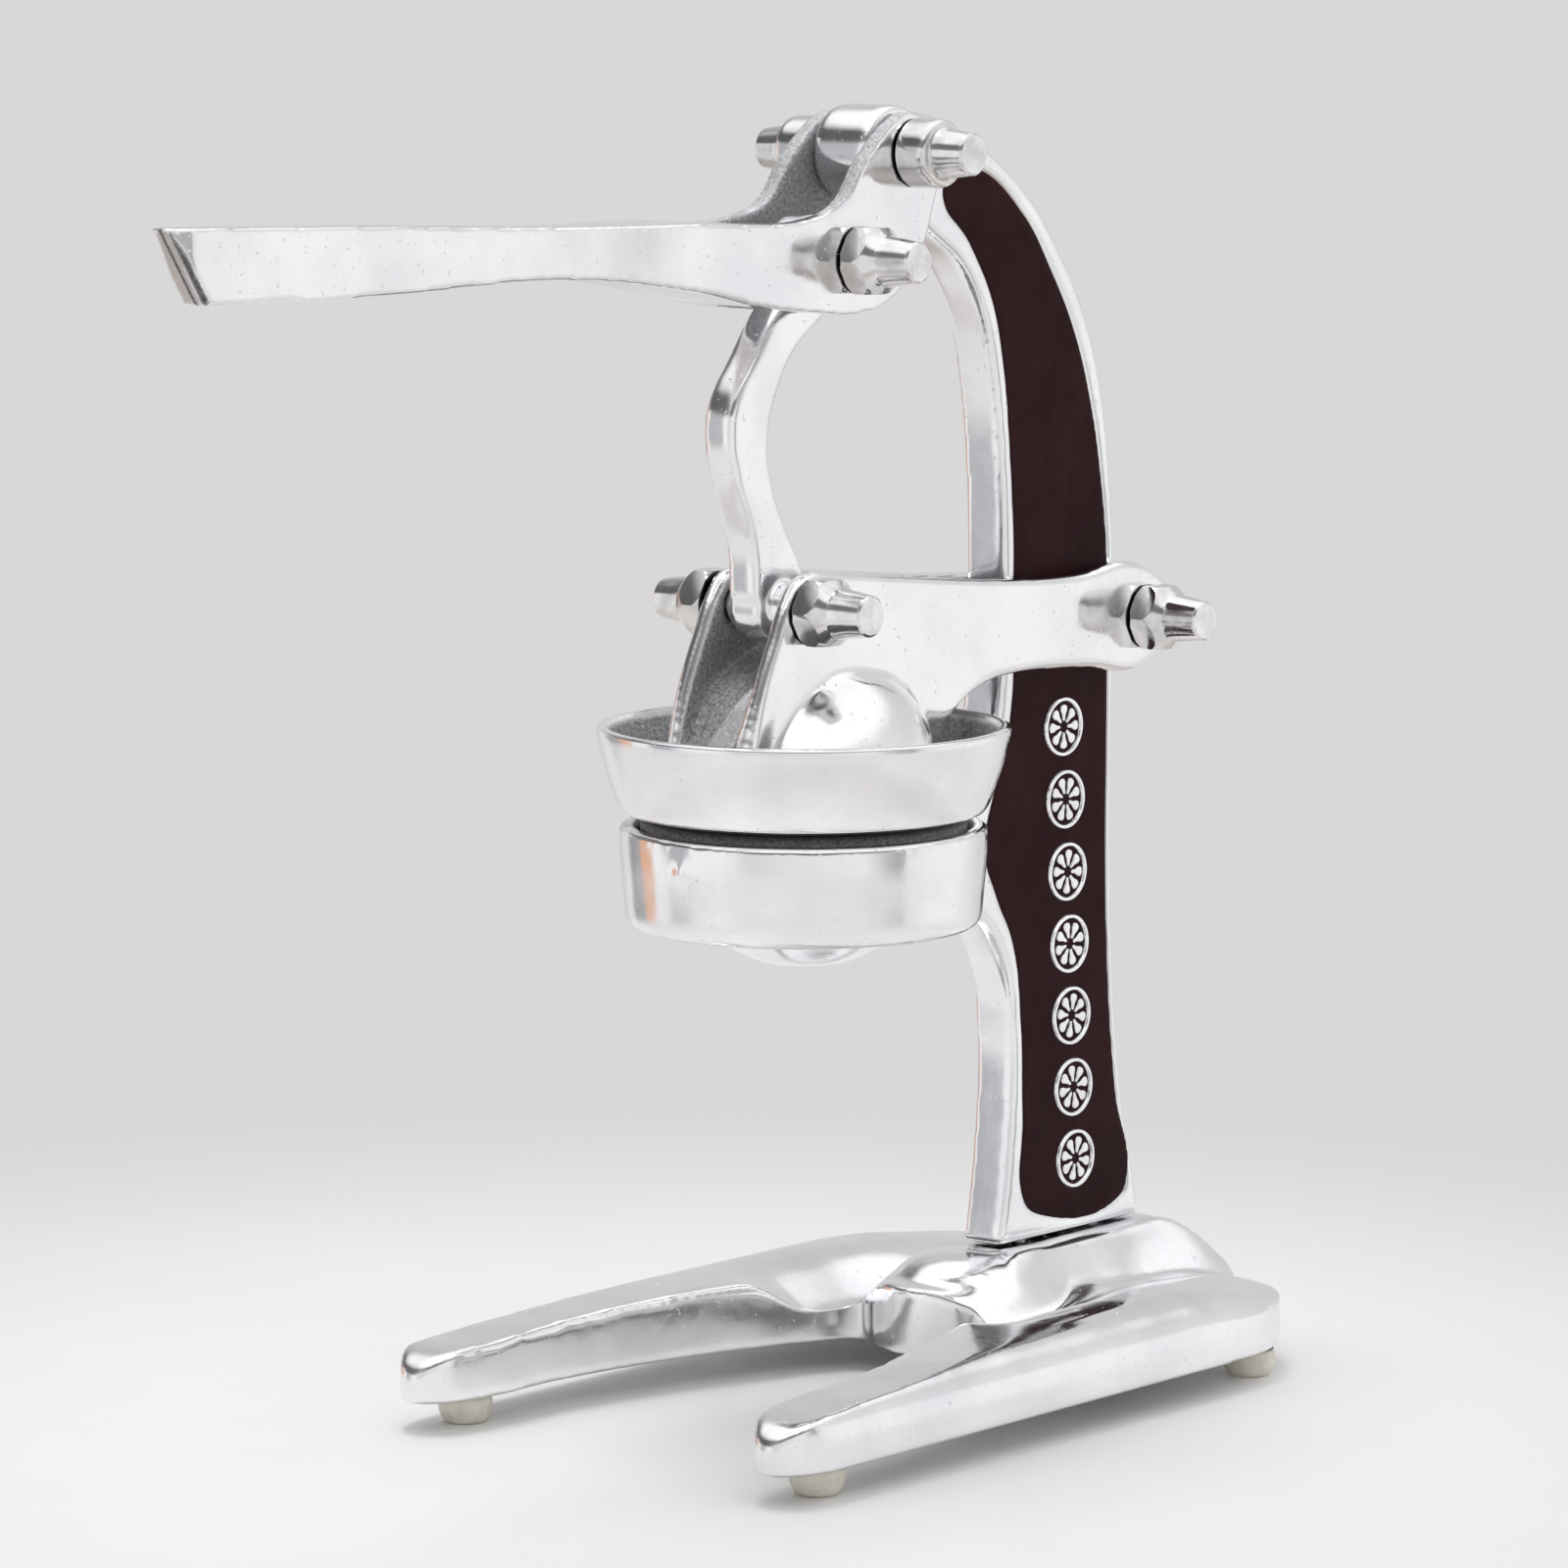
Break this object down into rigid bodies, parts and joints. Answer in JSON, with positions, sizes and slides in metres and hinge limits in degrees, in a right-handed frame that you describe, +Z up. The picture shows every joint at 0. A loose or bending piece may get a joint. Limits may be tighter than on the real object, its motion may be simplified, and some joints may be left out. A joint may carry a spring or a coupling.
{
  "type": "citrus press juicer",
  "caption": "Table-top lever citrus press of polished cast aluminium: a fork handle drives a C link and a bell arm down into a bowl over a strainer, on an arched column and forked base.",
  "frame": {"origin": "bottom centre of the bounding box, on the table", "axes": "+Z up; the handle points to -Y, the column stands at +Y, X runs across the press"},
  "size_m": [0.15, 0.399, 0.358],
  "materials": {
    "polished_cast_aluminium": "hand-polished sand casting with soft ripples and small pits; rough as-cast faces between the plates",
    "dark_enamel": "very dark maroon enamel in a recessed field",
    "taper_nut_steel": "bright turned steel",
    "turned_steel": "turned steel rod and fasteners",
    "stainless_sheet": "satin stainless strainer",
    "ivory_rubber": "matte ivory rubber"
  },
  "bodies": {
    "root": {"base_casting": "polished_cast_aluminium", "column_casting": "polished_cast_aluminium", "drip_funnel": "polished_cast_aluminium", "upper_bowl": "polished_cast_aluminium", "enamel_inlay_left": "dark_enamel", "enamel_inlay_right": "dark_enamel", "strainer_cone": "stainless_sheet", "foot_front_left": "ivory_rubber", "foot_screw_front_left": "turned_steel", "foot_front_right": "ivory_rubber", "foot_screw_front_right": "turned_steel", "foot_rear_left": "ivory_rubber", "foot_screw_rear_left": "turned_steel", "foot_rear_right": "ivory_rubber", "foot_screw_rear_right": "turned_steel", "column_bolt_front": "turned_steel", "column_washer_front": "turned_steel", "column_bolt_rear": "turned_steel", "column_washer_rear": "turned_steel", "pin_handle": "turned_steel", "nut_handle_left": "taper_nut_steel", "nut_handle_right": "taper_nut_steel", "pin_arm": "turned_steel", "nut_arm_left": "taper_nut_steel", "nut_arm_right": "taper_nut_steel"},
    "press_arm": {"press_arm": "polished_cast_aluminium", "pin_link_foot": "turned_steel", "nut_link_foot_left": "taper_nut_steel", "nut_link_foot_right": "taper_nut_steel"},
    "handle": {"lever_handle": "polished_cast_aluminium", "pin_link_top": "turned_steel", "nut_link_top_left": "taper_nut_steel", "nut_link_top_right": "taper_nut_steel"},
    "link": {"c_link": "polished_cast_aluminium"}
  },
  "joints": [
    {"name": "handle_lift", "type": "hinge", "parent": "root", "child": "handle", "pos_m": [0, 0.0668, 0.345], "axis": [-1, 0, 0], "range_deg": [0, 75]},
    {"name": "arm_lift", "type": "hinge", "parent": "root", "child": "press_arm", "pos_m": [0, 0.1705, 0.211], "axis": [-1, 0, 0], "range_deg": [0, 16.6]},
    {"name": "link_swing", "type": "hinge", "parent": "press_arm", "child": "link", "pos_m": [0, 0.0245, 0.224], "axis": [-1, 0, 0], "range_deg": [-28.6, 0]}
  ],
  "couplings": [
    {"joint": "arm_lift", "follows": "handle_lift", "ratio": 0.21967},
    {"joint": "link_swing", "follows": "handle_lift", "ratio": -0.37962}
  ]
}
